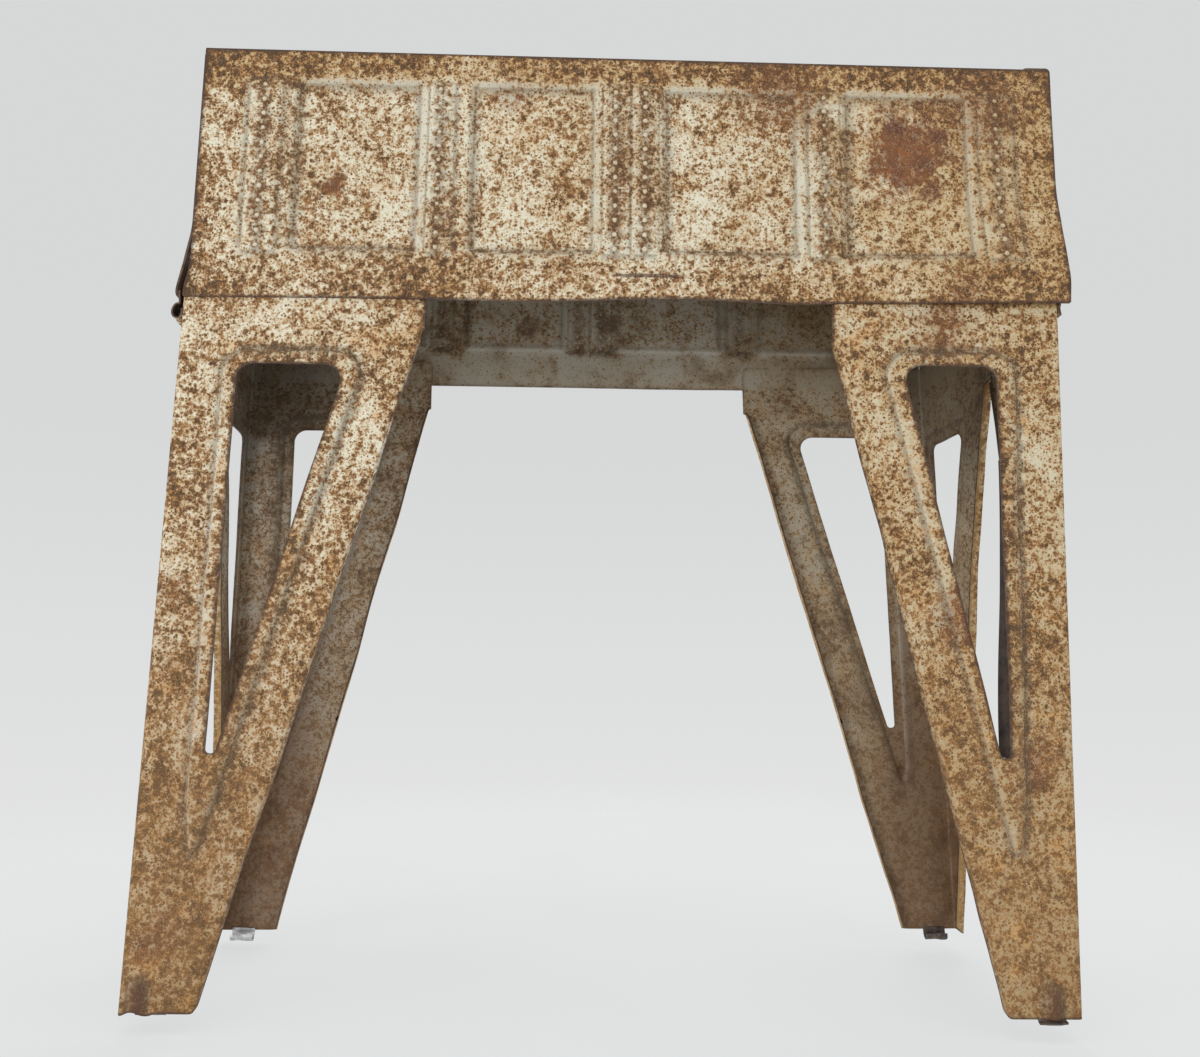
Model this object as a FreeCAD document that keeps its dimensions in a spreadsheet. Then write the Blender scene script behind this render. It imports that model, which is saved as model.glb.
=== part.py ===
"""Pressed-tin toy gantry frame: a deep box-shaped cap on four tapered L-section legs.

Frame: +X to the right, +Y to the rear, +Z up; the origin is under the middle of the object,
at the level it stands on. Millimetres.
"""

import FreeCAD, Part
import itertools
import os
import Sketcher

Vector = FreeCAD.Vector
doc = FreeCAD.newDocument("gantry_frame")
sheet_cells = doc.addObject("Spreadsheet::Sheet", "Dims")
rows = itertools.count(1)


class Size:
    """A length, as a number and as the spreadsheet expression that drives it."""

    def __init__(self, number, text):
        self.number, self.text = number, text

    def join(self, sign, other, number):
        text = other.text if isinstance(other, Size) else repr(float(other))
        return Size(number, f"({self.text} {sign} {text})")

    def __add__(self, other):
        return self.join("+", other, self.number + plain(other))

    def __sub__(self, other):
        return self.join("-", other, self.number - plain(other))

    def __mul__(self, other):
        return self.join("*", other, self.number * plain(other))

    def __truediv__(self, other):
        return self.join("/", other, self.number / plain(other))


def plain(length):
    return length.number if isinstance(length, Size) else float(length)


def dimension(alias, number):
    """Puts one driving dimension in the spreadsheet and returns it as a Size."""
    row = next(rows)
    sheet_cells.set(f"A{row}", alias)
    sheet_cells.set(f"B{row}", str(number))
    sheet_cells.setAlias(f"B{row}", alias)
    return Size(number, f"Dims.{alias}")


# Whole object
width = dimension("cap_width", 190)  # over the front and rear skirts
depth = dimension("cap_depth", 67)  # outside to outside of the two skirts
top = dimension("overall_height", 205)
sheet = dimension("sheet_thickness", 0.5)
# Cap
skirt = dimension("skirt_height", 57.5)
bend = dimension("bend_radius", 1.2)  # outside radius of the deck's long folds
panel_low = dimension("panel_above_skirt_edge", 10)
panel_high = dimension("panel_below_deck", 7)
panel_wide = dimension("panel_width", 30)
panel_pitch = dimension("panel_pitch", 40)
panel_sunk = dimension("panel_depth", 0.5)
lap = dimension("end_plate_lap", 5)  # the end plate's flange under the deck
# Legs
leg_top = dimension("leg_width_top", 51)
leg_foot = dimension("leg_width_foot", 15)
leg_lap = dimension("leg_lap_in_cap", 6.6)
leg_straight = dimension("leg_straight_length", 7)  # below the cap, before the taper
rear_side_top = dimension("rear_leg_side_width_top", 38)
front_side_top = dimension("front_leg_side_width_top", 27.6)
side_foot = dimension("leg_side_width_foot", 5.5)
flange = dimension("leg_edge_flange", 2)
foot_level = dimension("foot_edge_height", 0.8)
# Windows
window_top = dimension("window_below_cap", 13.5)
window_length = dimension("window_length", 79)
window_border = dimension("window_outer_border", 13)
window_width = dimension("window_width_top", 22.5)
window_apex = dimension("window_width_apex", 2.4)
window_round = dimension("window_corner_radius", 3)
# Corner tabs and wheel brackets
tab_proud = dimension("corner_tab_projection", 1.6)
tab_drop = dimension("corner_tab_drop", 4.6)
tab_wide = dimension("corner_tab_width", 4)
bracket_wide = dimension("bracket_width", 5.6)
bracket_tall = dimension("bracket_height", 3)
bracket_reach = dimension("bracket_tongue", 4.5)
bracket_inset = dimension("bracket_inset", 3.5)

ZERO = sheet * 0
skirt_edge = top - skirt
MIRROR = {"left": -1, "right": 1, "front": -1, "rear": 1}


def origin_plane(body, role):
    return next(item for item in body.Origin.OriginFeatures if item.Role == role)


def sketch(body, name, role, offset, outlines):
    """A sketch on one of the body's origin planes; every corner is held by two driven distances."""
    made = body.newObject("Sketcher::SketchObject", name)
    made.AttachmentSupport = [(origin_plane(body, role), "")]
    made.MapMode = "FlatFace"
    made.AttachmentOffset = FreeCAD.Placement(Vector(0, 0, offset.number), FreeCAD.Rotation())
    made.setExpression("AttachmentOffset.Base.z", offset.text)
    for corners in outlines:
        ends = [Vector(across.number, up.number, 0) for across, up in corners]
        first = made.GeometryCount
        for index, start in enumerate(ends):
            made.addGeometry(Part.LineSegment(start, ends[(index + 1) % len(ends)]), False)
        for index, (across, up) in enumerate(corners):
            line, after = first + index, first + (index + 1) % len(corners)
            made.addConstraint(Sketcher.Constraint("Coincident", line, 2, after, 1))
            for kind, length in (("DistanceX", across), ("DistanceY", up)):
                held = made.addConstraint(Sketcher.Constraint(kind, -1, 1, line, 1, length.number))
                made.setExpression(f"Constraints[{held}]", length.text)
    return made


def feature(body, kind, name, profile, length, reverse=False, middle=False):
    """A pad or a pocket, with its length bound to the spreadsheet."""
    made = body.newObject(f"PartDesign::{kind}", name)
    made.Profile = profile
    made.Length = length.number
    made.setExpression("Length", length.text)
    if middle:
        made.Midplane = True
    made.Reversed = reverse
    profile.Visibility = False
    doc.recompute()
    return made


def pad(body, name, role, offset, outlines, length, **how):
    profile = sketch(body, f"{name}Sketch", role, offset, outlines)
    return feature(body, "Pad", name, profile, length, **how)


def pocket(body, name, role, offset, outlines, length, **how):
    """A pocket that must remove material."""
    before = body.Shape.Volume
    profile = sketch(body, f"{name}Sketch", role, offset, outlines)
    made = feature(body, "Pocket", name, profile, length, **how)
    assert body.Shape.Volume < before - 1e-3, f"{name} cuts nothing"
    return made


def rectangle(low, high):
    (left, bottom), (right, upper) = low, high
    return [(left, bottom), (right, bottom), (right, upper), (left, upper)]


def new_body(label):
    body = doc.addObject("PartDesign::Body", label)
    body.Label = label
    body.Placement = FreeCAD.Placement()
    return body


def straight_edges(shape, along, places, reach=0.6):
    """Names of the straight edges that run along a direction and pass near one of some places."""
    names = []
    for index, edge in enumerate(shape.Edges, 1):
        if edge.Curve.TypeId != "Part::GeomLine" or abs(edge.Curve.Direction.dot(along)) < 0.999:
            continue
        middle = edge.CenterOfMass
        for place in places:
            away = middle - place
            if (away - along * away.dot(along)).Length < reach:
                names.append(f"Edge{index}")
    return names


def fillet(body, name, along, places, radius):
    base = body.Tip
    made = body.newObject("PartDesign::Fillet", name)
    made.Base = (base, straight_edges(base.Shape, along, places))
    made.Radius = radius.number
    made.setExpression("Radius", radius.text)
    doc.recompute()
    return made


def make_cap_channel():
    """Deck with its front and rear skirts, folded from one sheet; four sunk panels in each skirt."""
    body = new_body("cap_channel")
    half, thin = depth / 2, sheet
    profile = [
        (ZERO - half, skirt_edge), (ZERO - half, top), (half, top), (half, skirt_edge),
        (half - thin, skirt_edge), (half - thin, top - thin),
        (thin - half, top - thin), (thin - half, skirt_edge),
    ]
    pad(body, "Channel", "YZ_Plane", ZERO, [profile], width, middle=True)
    folds = [Vector(0, end * half.number, top.number) for end in (-1, 1)]
    fillet(body, "OuterFolds", Vector(1, 0, 0), folds, bend)
    folds = [Vector(0, end * (half - thin).number, (top - thin).number) for end in (-1, 1)]
    fillet(body, "InnerFolds", Vector(1, 0, 0), folds, bend - sheet)

    def panels(grow):
        low, high = skirt_edge + panel_low - grow, top - panel_high + grow
        reach = panel_wide / 2 + grow
        middles = [panel_pitch * step for step in (-1.5, -0.5, 0.5, 1.5)]
        return [rectangle((middle - reach, low), (middle + reach, high)) for middle in middles]

    for end, sign in (("Front", 1), ("Rear", -1)):
        # The sketch plane's normal is -Y, so the front skirt lies at a positive offset.
        inner, outer = (half - thin) * sign, half * sign
        behind = sign > 0
        pad(body, f"{end}PanelBacks", "XZ_Plane", inner, panels(sheet), panel_sunk, reverse=behind)
        pocket(body, f"{end}Panels", "XZ_Plane", outer, panels(ZERO), panel_sunk, reverse=not behind)
    return body


def make_end_plate(side):
    """End plate that closes the channel, with a flange under the deck and a tab at its front corner."""
    body = new_body(f"{side}_end_plate")
    sign = MIRROR[side]
    inside = width / 2 * sign
    outward = sign > 0
    low, high = depth / -2 + sheet, depth / 2 - sheet
    face = rectangle((low, skirt_edge), (high, top - sheet * 2))
    pad(body, "Plate", "YZ_Plane", inside, [face], sheet, reverse=not outward)
    strip = rectangle((low + 2, top - sheet * 2), (high - 2, top - sheet))
    pad(body, "DeckLap", "YZ_Plane", inside - lap * sign, [strip], lap + sheet, reverse=not outward)
    tab_level = skirt_edge - (tab_drop if side == "left" else tab_drop / 2)
    outer = inside + tab_proud * sign
    tab_head = skirt_edge + sheet * 2
    curl = [(inside, tab_level), (outer, tab_level), (outer, tab_head), (inside, tab_head)]
    pad(body, "CornerTab", "XZ_Plane", ZERO - low, [curl], tab_wide, reverse=True)
    if side == "left":
        wall = tab_proud / 4
        eye = rectangle((outer + wall, tab_level + 1), (inside - wall, tab_level + 3))
        pocket(body, "TabEye", "XZ_Plane", ZERO - low, [eye], tab_wide)
    return body


def make_leg(side, end):
    """One L-section leg: a face behind the skirt and a side face inside the end plate."""
    body = new_body(f"leg_{end}_{side}")
    across, along = MIRROR[side], MIRROR[end]
    outer = width / 2 * across  # outside of the side face
    face = (depth / 2 - sheet) * along  # outside of the wide face
    side_top = rear_side_top if end == "rear" else front_side_top
    high, low = skirt_edge + leg_lap, foot_level
    knee = skirt_edge - leg_straight
    toe, hip = outer - leg_foot * across, outer - leg_top * across

    # Wide face, its window and the flange on its sloping edge. Its sketches face -Y.
    plate = [(outer, low), (toe, low), (hip, knee), (hip, high), (outer, high)]
    inward_y = along < 0
    pad(body, "Face", "XZ_Plane", ZERO - face, [plate], sheet, reverse=inward_y)
    strip = [(toe, low), (hip, knee), (hip + sheet * across, knee), (toe + sheet * across, low)]
    pad(body, "FaceFlange", "XZ_Plane", ZERO - face, [strip], flange, reverse=inward_y)
    sill = skirt_edge - window_top
    apex = sill - window_length
    border = outer - window_border * across
    window = [
        (border, sill), (border, apex),
        (border - window_apex * across, apex), (border - window_width * across, sill),
    ]
    pocket(body, "FaceWindow", "XZ_Plane", ZERO - face, [window], sheet * 1.5, reverse=not inward_y)
    corners = [Vector(x.number, face.number, z.number) for x, z in window]
    fillet(body, "FaceWindowCorners", Vector(0, 1, 0), [corners[0], corners[3]], window_round)
    fillet(body, "FaceWindowApex", Vector(0, 1, 0), corners[1:3], window_apex * 0.45)

    # Side face, its window and the flange on its free edge. Its sketches face +X.
    free_foot, free_top = face - side_foot * along, face - side_top * along
    plate = [(face, low), (free_foot, low), (free_top, knee), (free_top, high), (face, high)]
    inward_x = across > 0
    pad(body, "Side", "YZ_Plane", outer, [plate], sheet, reverse=inward_x)
    strip = [
        (free_foot, low), (free_top, knee), (free_top, high),
        (free_top + sheet * along, high), (free_top + sheet * along, knee),
        (free_foot + sheet * along, low),
    ]
    pad(body, "SideFlange", "YZ_Plane", outer, [strip], flange, reverse=inward_x)
    share = side_top / rear_side_top
    near, far = face - share * 4 * along, face - share * 21 * along
    slot_apex = near - share * 1.5 * along
    slot = [(near, sill - 3), (near, apex + 15), (slot_apex, apex + 15), (far, sill - 3)]
    pocket(body, "SideWindow", "YZ_Plane", outer, [slot], sheet * 1.5, reverse=not inward_x)
    return body


def make_wheel_bracket(side, end):
    """What is left of one wheel bracket: a leaf inside the foot and a tongue bent under its edge."""
    body = new_body(f"wheel_bracket_{end}_{side}")
    across, along = MIRROR[side], MIRROR[end]
    inside = (depth / 2 - sheet * 2) * along  # inner surface of the leg's wide face
    near = width / 2 * across - bracket_inset * across
    far = near - bracket_wide * across
    leaf = rectangle((near, ZERO), (far, bracket_tall))
    inward_y = along < 0
    pad(body, "Leaf", "XZ_Plane", ZERO - inside, [leaf], sheet, reverse=inward_y)
    front, back = inside + sheet * 2 * along, inside - bracket_reach * along
    tongue = rectangle((near, front), (far, back))
    pad(body, "Tongue", "XY_Plane", ZERO, [tongue], sheet)
    return body


doc.recompute()
bodies = [make_cap_channel(), make_end_plate("left"), make_end_plate("right")]
for end in ("front", "rear"):
    for side in ("left", "right"):
        bodies.append(make_leg(side, end))
        bodies.append(make_wheel_bracket(side, end))
doc.recompute()

for item in doc.Objects:
    assert not {"Invalid", "Error"} & set(item.State), f"{item.Label}: {item.State}"
os.makedirs("parts", exist_ok=True)
for body in bodies:
    shape = body.Shape
    assert not shape.isNull() and shape.isValid() and len(shape.Solids) == 1, body.Label
    shape.exportStep(f"parts/{body.Label}.step")
    box = shape.BoundBox
    print(f"{body.Label:28s} {shape.Volume:9.1f} mm3  x {box.XMin:7.2f} {box.XMax:7.2f}"
          f"  y {box.YMin:7.2f} {box.YMax:7.2f}  z {box.ZMin:7.2f} {box.ZMax:7.2f}")
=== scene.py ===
"""Looks of the pressed-tin toy gantry frame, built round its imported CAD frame.

Every sheet is laid out flat, with its pressed relief, then folded to shape and given its thickness.
Lengths are in millimetres until a mesh is written.
"""

import math

import bmesh
import bpy
import numpy as np
from mathutils import Matrix, Vector
from mathutils.geometry import delaunay_2d_cdt


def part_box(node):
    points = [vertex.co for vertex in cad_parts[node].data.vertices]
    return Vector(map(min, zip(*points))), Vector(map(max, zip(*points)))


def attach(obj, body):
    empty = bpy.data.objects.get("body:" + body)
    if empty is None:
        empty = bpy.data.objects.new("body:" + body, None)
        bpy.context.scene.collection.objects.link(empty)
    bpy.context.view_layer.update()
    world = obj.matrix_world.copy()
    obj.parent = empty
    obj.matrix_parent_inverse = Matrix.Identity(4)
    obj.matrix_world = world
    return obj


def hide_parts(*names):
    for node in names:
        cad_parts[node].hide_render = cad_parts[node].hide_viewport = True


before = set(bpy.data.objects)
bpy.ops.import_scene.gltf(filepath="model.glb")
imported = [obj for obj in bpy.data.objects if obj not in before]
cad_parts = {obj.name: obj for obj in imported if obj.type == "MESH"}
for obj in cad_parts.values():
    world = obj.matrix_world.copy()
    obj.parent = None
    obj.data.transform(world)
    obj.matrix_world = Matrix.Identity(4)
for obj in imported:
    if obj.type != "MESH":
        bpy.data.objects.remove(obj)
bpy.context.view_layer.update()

MM = 0.001


def size_of(node):
    """Lowest and highest corner of a CAD node, in millimetres."""
    low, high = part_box(node)
    return np.array(low) / MM, np.array(high) / MM


CAP_LOW, CAP_HIGH = size_of("cap_channel")
WIDE, DEEP = (CAP_HIGH - CAP_LOW)[:2]
SKIRT = CAP_HIGH[2] - CAP_LOW[2]
EDGE, TOP = CAP_LOW[2], CAP_HIGH[2]  # heights of the skirts' lower edge and of the deck
HALF_WIDE, HALF_DEEP = WIDE / 2, DEEP / 2
SHEET = 0.45  # thickness of the tin
FOLD = 1.2  # outside radius of the deck's folds
CORNER = 1.0  # outside radius of a leg's corner

# Sheet building -------------------------------------------------------------------------------


def smooth(low, high, value):
    """0 at low, 1 at high, smooth between."""
    share = np.clip((value - low) / (high - low), 0, 1)
    return share * share * (3 - 2 * share)


def wave(points, pitch, seed):
    """Smooth, seeded unevenness between about -1 and 1, from a few crossed sine waves."""
    pick = np.random.default_rng(seed)
    total = np.zeros(len(points))
    for _ in range(6):
        way = pick.normal(size=points.shape[1])
        way *= 2 * math.pi / (pitch * pick.uniform(0.7, 1.6) * np.linalg.norm(way))
        total += np.sin(points @ way + pick.uniform(0, 2 * math.pi))
    return total / 3


def rounded(corners, radii, step=0.6):
    """A closed outline with its corners rounded, as evenly spaced points."""
    corners = [np.array(corner, float) for corner in corners]
    outline = []
    for index, (corner, radius) in enumerate(zip(corners, radii)):
        back = corners[index - 1] - corner
        ahead = corners[(index + 1) % len(corners)] - corner
        back, ahead = back / np.linalg.norm(back), ahead / np.linalg.norm(ahead)
        if radius <= 0:
            outline.append(corner)
            continue
        half = math.acos(np.clip(back @ ahead, -1, 1)) / 2
        run = radius / math.tan(half)
        centre = corner + (back + ahead) / np.linalg.norm(back + ahead) * radius / math.sin(half)
        first, last = corner + back * run - centre, corner + ahead * run - centre
        sweep = math.pi - 2 * half
        steps = max(3, int(radius * sweep / step * 1.5))
        for tick in range(steps + 1):
            share = tick / steps
            blend = first * math.sin((1 - share) * sweep) + last * math.sin(share * sweep)
            outline.append(centre + blend / math.sin(sweep))
    filled = []
    for here, there in zip(outline, outline[1:] + outline[:1]):
        steps = max(1, int(np.linalg.norm(there - here) / step))
        filled += [here + (there - here) * tick / steps for tick in range(steps)]
    return np.array(filled)


def turning(outline):
    """Only the points where a closed outline changes direction."""
    way = np.roll(outline, -1, 0) - outline
    way /= np.linalg.norm(way, axis=1)[:, None]
    return outline[np.linalg.norm(way - np.roll(way, 1, 0), axis=1) > 1e-6]


def inside(points, outline):
    """Which points lie inside a closed outline."""
    outline = turning(outline)
    found = np.zeros(len(points), bool)
    across, up = points[:, 0], points[:, 1]
    for (x0, y0), (x1, y1) in zip(outline, np.roll(outline, -1, 0)):
        if y0 == y1:
            continue
        crosses = (y0 > up) != (y1 > up)
        found ^= crosses & (across < (x1 - x0) * (up - y0) / (y1 - y0) + x0)
    return found


def away(points, outline, chunk=4000):
    """Distance from each point to a closed outline."""
    outline = turning(outline)
    start, run = outline, np.roll(outline, -1, 0) - outline
    length2 = np.maximum((run**2).sum(1), 1e-12)
    near = np.empty(len(points))
    for first in range(0, len(points), chunk):
        part = points[first : first + chunk, None] - start
        share = np.clip((part * run).sum(2) / length2, 0, 1)
        near[first : first + chunk] = np.sqrt(((part - share[..., None] * run) ** 2).sum(2).min(1))
    return near


def outward(start, end):
    """Unit direction to the right of the line from start to end."""
    line = np.array(end, float) - np.array(start, float)
    line /= np.linalg.norm(line)
    return np.array([line[1], -line[0]])


def lattice(low, high, pitch):
    """Points of an even triangular grid over a box."""
    across = np.arange(low[0] + pitch / 2, high[0], pitch)
    up = np.arange(low[1] + pitch / 2, high[1], pitch * 0.866)
    grid = np.stack(np.meshgrid(across, up), -1)
    grid[1::2, :, 0] += pitch / 2
    return grid.reshape(-1, 2)


def bend(points, start, end, radius, angle):
    """Folds back the part of the sheet to the right of a line. Points are (u, v, height)."""
    out = outward(start, end)
    line = np.array([-out[1], out[0]])
    flat = points[:, :2] - start
    reach, along, height = flat @ out, flat @ line, points[:, 2]
    turn = np.minimum(np.maximum(reach, 0) / radius, angle)
    rest = np.maximum(reach, 0) - turn * radius
    ahead = (radius + height) * np.sin(turn) + rest * np.cos(turn)
    behind = (radius + height) * np.cos(turn) - radius - rest * np.sin(turn)
    moved = start + along[:, None] * line + np.where(reach <= 0, reach, ahead)[:, None] * out
    return np.column_stack([moved, np.where(reach <= 0, height, behind)])


def seam_points(start, end, arc, pitch=1.3):
    """Rows of points along a fold, over the width that will be curved."""
    out = outward(start, end)
    line = np.array([-out[1], out[0]])
    along = np.arange(pitch / 2, np.linalg.norm(np.subtract(end, start)), pitch)
    across = np.linspace(0, arc, 5)
    return (start + along[:, None, None] * line + across[:, None] * out).reshape(-1, 2)


def clear_of_seam(grid, start, end, arc, margin):
    """The points of a grid outside the width that a fold will curve."""
    beyond = (grid - start) @ outward(start, end)
    return grid[(beyond < -margin) | (beyond > arc + margin)]


def clear_of_dots(grid, dots, gap=0.95):
    """The points of a grid that stand clear of every pressed dot."""
    for dot in dots:
        grid = grid[np.hypot(*(grid - dot).T) > gap]
    return grid


def dot_rings(dots):
    """The top of each pressed dot and two rings of points round it."""
    rings = []
    for dot in dots:
        rings.append(np.array([dot]))
        for radius, count in ((0.3, 6), (DOT_RADIUS, 9)):
            turns = np.arange(count) * 2 * math.pi / count
            rings.append(dot + radius * np.column_stack([np.cos(turns), np.sin(turns)]))
    return rings


def uncovered(coarse, fine, cell):
    """The coarse points in whose grid cell no fine point stands."""
    taken = set(map(tuple, np.round(fine / cell).astype(int)))
    free = [point for point in coarse if tuple(np.round(point / cell).astype(int)) not in taken]
    return np.array(free).reshape(-1, 2)


def triangles(spread, outline, holes, margin=0.35):
    """Vertices and triangles of a flat sheet, from its outlines and the points spread over it."""
    keep = inside(spread, outline) & (away(spread, outline) > margin)
    for hole in holes:
        keep &= ~inside(spread, hole) & (away(spread, hole) > margin)
    points, edges = [], []
    for loop in [outline] + list(holes):
        first, count = len(points), len(loop)
        points += [tuple(point) for point in loop]
        edges += [(first + index, first + (index + 1) % count) for index in range(count)]
    points += [tuple(point) for point in spread[keep]]
    verts, _, faces, *_ = delaunay_2d_cdt([Vector(point) for point in points], edges, [], 0, 1e-6)
    verts, faces = np.array([tuple(vert) for vert in verts]), np.array([tuple(face) for face in faces])
    middle = verts[faces].mean(1)
    kept = inside(middle, outline)
    for hole in holes:
        kept &= ~inside(middle, hole)
    faces = faces[kept]
    used = np.unique(faces)
    number = np.full(len(verts), -1)
    number[used] = np.arange(len(used))
    return verts[used], number[faces]


def flat_sheet(outline, holes, relief, dots=(), seams=(), coarse=2.6, fine=0.42, step=0.3):
    """A flat sheet's vertices and triangles, finer where its relief changes, along folds and at dots."""
    low, high = outline.min(0), outline.max(0)
    wide, close = lattice(low, high, coarse), lattice(low, high, fine)
    change = sum(
        np.abs(relief(close + np.array(shift)) - relief(close - np.array(shift)))
        for shift in ((step, 0), (0, step))
    )
    close = clear_of_dots(close[change > 0.02], dots)
    wide = uncovered(clear_of_dots(wide, dots), close, 2 * fine)
    for seam in seams:
        wide, close = clear_of_seam(wide, *seam, 0.5), clear_of_seam(close, *seam, 0.15)
    rows = [seam_points(*seam) for seam in seams]
    return triangles(np.concatenate([wide, close] + dot_rings(dots) + rows), outline, holes)


def vertex_normals(points, faces):
    """Unit normals at the vertices of a triangle mesh."""
    a, b, c = points[faces].transpose(1, 0, 2)
    face = np.cross(b - a, c - a)
    normals = np.zeros_like(points)
    for corner in range(3):
        np.add.at(normals, faces[:, corner], face)
    return normals / np.maximum(np.linalg.norm(normals, axis=1), 1e-12)[:, None]


def solid(name, points, faces, tone, materials, thickness=SHEET):
    """Gives a folded sheet its thickness: outer skin, inner skin and rim, with a material for each."""
    normals = vertex_normals(points, faces)
    both = np.concatenate([points, points - normals * thickness])
    count = len(points)
    directed = np.concatenate([faces[:, [0, 1]], faces[:, [1, 2]], faces[:, [2, 0]]])
    back = {(b, a) for a, b in directed.tolist()}
    rim = [(b, a, a + count, b + count) for a, b in directed.tolist() if (a, b) not in back]
    mesh = bpy.data.meshes.new(name)
    polygons = faces.tolist() + (faces[:, ::-1] + count).tolist() + rim
    mesh.from_pydata((both * MM).tolist(), [], polygons)
    index = np.zeros(len(polygons), np.int32)
    index[len(faces) : 2 * len(faces)] = 1
    index[2 * len(faces) :] = 2
    mesh.polygons.foreach_set("material_index", index)
    mesh.polygons.foreach_set("use_smooth", np.ones(len(polygons), bool))
    for key, values in tone.items():
        layer = mesh.attributes.new(key, "FLOAT", "POINT")
        layer.data.foreach_set("value", np.concatenate([values, values]).astype(np.float32))
    mesh.set_sharp_from_angle(angle=math.radians(50))
    for material in materials:
        mesh.materials.append(material)
    mesh.validate()
    piece = bpy.data.objects.new(name, mesh)
    bpy.context.scene.collection.objects.link(piece)
    return piece


# Relief ---------------------------------------------------------------------------------------

# across one skirt, from its left edge: sunk panels, raised strips between them, and rows of dots
PANELS = [(20.3, 49.8), (59.3, 88.6), (102.0, 133.6), (142.3, 171.8)]
STRIPS = [(11.0, 17.4), (50.9, 55.9), (89.7, 94.8), (96.2, 101.2), (135.4, 141.6), (173.4, 180.4)]
STRIP_DOTS = [13.9, 52.9, 92.0, 98.6, 138.5, 176.9]
NICKS = [(102.5, 106.5, 5.3), (108.5, 113.0, 4.8)]  # long nicks near the front skirt's lower edge
PANEL_FOOT, PANEL_HEAD = 10.0, SKIRT - 6.8
DOT_PITCH, DOT_HIGH, DOT_RADIUS = 3.35, 0.34, 0.62
SINK, SLOPE = 0.7, 1.8  # depth of a panel and width of its sloping sides
STRIP_RISE, STRIP_SLOPE = 0.2, 0.45


def bump_box(points, low, high, slope):
    """1 inside a box, falling to 0 over a slope outside its edges."""
    u, v = points.T
    share = smooth(low[0] - slope, low[0], u) * smooth(high[0] + slope, high[0], u)
    return share * smooth(low[1] - slope, low[1], v) * smooth(high[1] + slope, high[1], v)


def skirt_dots():
    """Centres of the pressed dots of one skirt."""
    heights = np.arange(PANEL_FOOT + 1.6, PANEL_HEAD - 1, DOT_PITCH)
    return np.array([(across, up) for across in STRIP_DOTS for up in heights])


def skirt_relief(points):
    """Pressed girder pattern of one skirt: u from its left edge, v from its lower edge."""
    height = np.zeros(len(points))
    for left, right in PANELS:
        low, high = (left + SLOPE, PANEL_FOOT + SLOPE), (right - SLOPE, PANEL_HEAD - SLOPE)
        height -= SINK * bump_box(points, low, high, SLOPE)
    for left, right in STRIPS:
        low, high = (left, PANEL_FOOT + 1), (right, PANEL_HEAD - 1)
        height += STRIP_RISE * bump_box(points, low, high, STRIP_SLOPE)
    return height


def nicks(points):
    """1 along the long nicks, 0 away from them."""
    return sum(bump_box(points, (start, up - 0.1), (end, up + 0.1), 0.6) for start, end, up in NICKS)


def dot_relief(points, dots, radius=DOT_RADIUS):
    """Height of the pressed dots, each a low dome."""
    height = np.zeros(len(points))
    for dot in dots:
        gap = np.hypot(*(points - dot).T)
        height = np.maximum(height, DOT_HIGH * np.sqrt(np.clip(1 - (gap / radius) ** 2, 0, 1)))
    return height


# Wear: how far the old frame is out of true ---------------------------------------------------

CAP_LEAN = {"front": 4.2, "rear": -4.5}  # sideways shift of the cap's two skirts
LEG_LEAN = {("front", -1): 3.1, ("front", 1): 3.6, ("rear", -1): -4.8, ("rear", 1): -4.2}
FOOT_LEAN = {("front", -1): 0.9, ("front", 1): 0.4, ("rear", -1): -3.4, ("rear", 1): 0.2}
FOOT_DROP = {("front", -1): 0.0, ("front", 1): 0.4, ("rear", -1): -1.0, ("rear", 1): 1.1}


def lean(points):
    """Racks the frame: the cap's front goes right and its rear left, and each foot has moved a little."""
    x, y, z = points.T
    rear = np.clip(y / DEEP + 0.5, 0, 1)
    right = np.clip(x / WIDE + 0.5, 0, 1)

    def blend(moves):
        return sum(
            moves[end, side] * (rear if end == "rear" else 1 - rear) * (right if side > 0 else 1 - right)
            for end, side in moves
        )

    share = np.clip(z / EDGE, 0, 1)
    above = smooth(EDGE, EDGE + 8, z)
    cap = CAP_LEAN["front"] * (1 - rear) + CAP_LEAN["rear"] * rear
    moved = points.copy()
    moved[:, 0] += (blend(LEG_LEAN) * (1 - above) + cap * above) * share + blend(FOOT_LEAN) * (1 - share)
    moved[:, 2] += blend(FOOT_DROP) * (1 - share)
    return moved


def dented(points, faces, seed, size, calm, pitch=34):
    """Pushes a folded sheet in and out a little, along its own surface normals."""
    normals = vertex_normals(points, faces)
    depth = size * calm * (wave(points, pitch, seed) + 0.3 * wave(points, pitch / 3.5, seed + 50))
    return points + normals * depth[:, None]


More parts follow.
